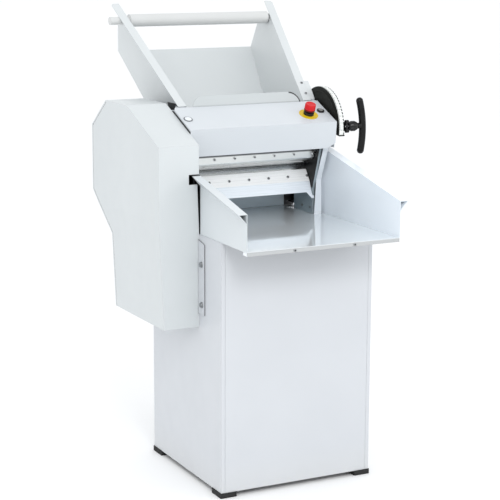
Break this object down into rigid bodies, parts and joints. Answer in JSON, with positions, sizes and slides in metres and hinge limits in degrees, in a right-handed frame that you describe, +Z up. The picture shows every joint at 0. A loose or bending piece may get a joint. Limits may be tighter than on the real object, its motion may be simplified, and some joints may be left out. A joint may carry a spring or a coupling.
{
  "type": "dough sheeter",
  "caption": "Floor-standing dough sheeter: cabinet, front tray, flared feed hopper, geared rollers under a hood, side drive casing and a thickness lever on a quadrant.",
  "frame": {"origin": "on the floor under the middle of the cabinet, between the four anchor holes", "axes": "+X along the rollers to the operator's right, +Y towards the back, +Z up"},
  "size_m": [0.6784, 0.885, 1.3198],
  "materials": {
    "white_paint": "smooth powder coat",
    "polished_steel": "polished stainless",
    "roller_chrome": "ground chrome",
    "zinc_steel": "zinc plated",
    "screw_steel": "bright fastener",
    "gear_steel": "machined and oiled",
    "cast_iron": "as cast",
    "bronze": "machined",
    "motor_paint": "satin",
    "black_rubber": "matt",
    "black_enamel": "satin black",
    "black_plastic": "gloss",
    "white_plastic": "satin",
    "scale_white": "satin with dark marks",
    "red_plastic": "gloss",
    "yellow_plastic": "satin"
  },
  "bodies": {
    "frame": {"base_frame": "white_paint", "cabinet_front": "white_paint", "cabinet_left": "white_paint", "cabinet_rear": "white_paint", "cabinet_right": "white_paint", "casing_cover": "white_paint", "casing_rear": "white_paint", "chute": "polished_steel", "counter_bearings": "cast_iron", "cross_bars": "zinc_steel", "deck_plate": "white_paint", "dial_drum": "black_enamel", "dial_scale": "scale_white", "drive_belt": "black_rubber", "drive_plate": "white_paint", "feed_plate": "white_paint", "fixings": "screw_steel", "hood": "white_paint", "hood_plug": "white_plastic", "hopper_brackets": "white_paint", "hopper_side_left": "white_paint", "hopper_side_right": "white_paint", "lower_bearings": "cast_iron", "motor": "motor_paint", "motor_plate": "zinc_steel", "rear_cover": "white_paint", "rubber_feet": "black_rubber", "side_covers": "white_paint", "side_frame_left": "zinc_steel", "side_frame_right": "zinc_steel", "start_bezel": "black_plastic", "stop_body": "black_plastic", "stop_ring": "yellow_plastic", "throat_guard": "white_paint", "tray_floor": "polished_steel", "tray_rails": "white_paint", "tray_wall_left": "white_paint", "tray_wall_right": "white_paint"},
    "lower_roller": {"lower_roller": "roller_chrome", "sync_gear_lower": "gear_steel", "drive_gear": "gear_steel"},
    "upper_roller": {"upper_roller": "roller_chrome", "sync_gear_upper": "gear_steel"},
    "carriage": {"bearing_blocks": "cast_iron", "upper_bushes": "bronze", "upper_scraper": "polished_steel", "scraper_bar": "zinc_steel", "scraper_screws": "screw_steel"},
    "countershaft": {"pinion_shaft": "gear_steel", "driven_pulley": "cast_iron"},
    "motor_rotor": {"motor_shaft": "gear_steel", "motor_pulley": "cast_iron"},
    "lever": {"cross_shaft": "zinc_steel", "lever_arm": "black_enamel", "plunger_barrel": "black_plastic"},
    "plunger": {"plunger_pin": "screw_steel", "t_handle": "black_plastic"},
    "guide_roller": {"guide_roller": "white_plastic"},
    "stop_button": {"stop_head": "red_plastic"},
    "start_button": {"start_button": "red_plastic"}
  },
  "joints": [
    {"name": "lower_roller_spin", "type": "hinge", "parent": "frame", "child": "lower_roller", "pos_m": [0, 0.125, 0.833], "axis": [1, 0, 0], "continuous": true},
    {"name": "countershaft_spin", "type": "hinge", "parent": "frame", "child": "countershaft", "pos_m": [0, 0.20732, 0.88524], "axis": [1, 0, 0], "continuous": true},
    {"name": "motor_spin", "type": "hinge", "parent": "frame", "child": "motor_rotor", "pos_m": [0, 0.086, 0.56], "axis": [1, 0, 0], "continuous": true},
    {"name": "lever_swing", "type": "hinge", "parent": "frame", "child": "lever", "pos_m": [0, 0.082, 0.973], "axis": [-1, 0, 0], "range_deg": [0, 120]},
    {"name": "carriage_slide", "type": "slide", "parent": "frame", "child": "carriage", "axis": [0, -0.421, 0.907], "range_m": [0, 0.008]},
    {"name": "upper_roller_spin", "type": "hinge", "parent": "carriage", "child": "upper_roller", "pos_m": [0, 0.09266, 0.90266], "axis": [1, 0, 0], "continuous": true},
    {"name": "plunger_pull", "type": "slide", "parent": "lever", "child": "plunger", "axis": [1, 0, 0], "range_m": [0, 0.008], "stiffness_N_per_m": 600, "springref_m": -0.006},
    {"name": "guide_roller_spin", "type": "hinge", "parent": "frame", "child": "guide_roller", "pos_m": [0, 0.411, 1.272], "axis": [1, 0, 0], "continuous": true},
    {"name": "stop_push", "type": "slide", "parent": "frame", "child": "stop_button", "axis": [0, 0.3891, -0.9212], "range_m": [0, 0.004], "stiffness_N_per_m": 800, "springref_m": -0.004},
    {"name": "start_push", "type": "slide", "parent": "frame", "child": "start_button", "axis": [0, 0.3891, -0.9212], "range_m": [0, 0.0025], "stiffness_N_per_m": 600, "springref_m": -0.003}
  ],
  "couplings": [
    {"joint": "upper_roller_spin", "follows": "lower_roller_spin", "ratio": -1},
    {"joint": "countershaft_spin", "follows": "lower_roller_spin", "ratio": -4},
    {"joint": "motor_spin", "follows": "lower_roller_spin", "ratio": -17.143},
    {"joint": "carriage_slide", "follows": "lever_swing", "m_per_rad": 0.0038197}
  ]
}
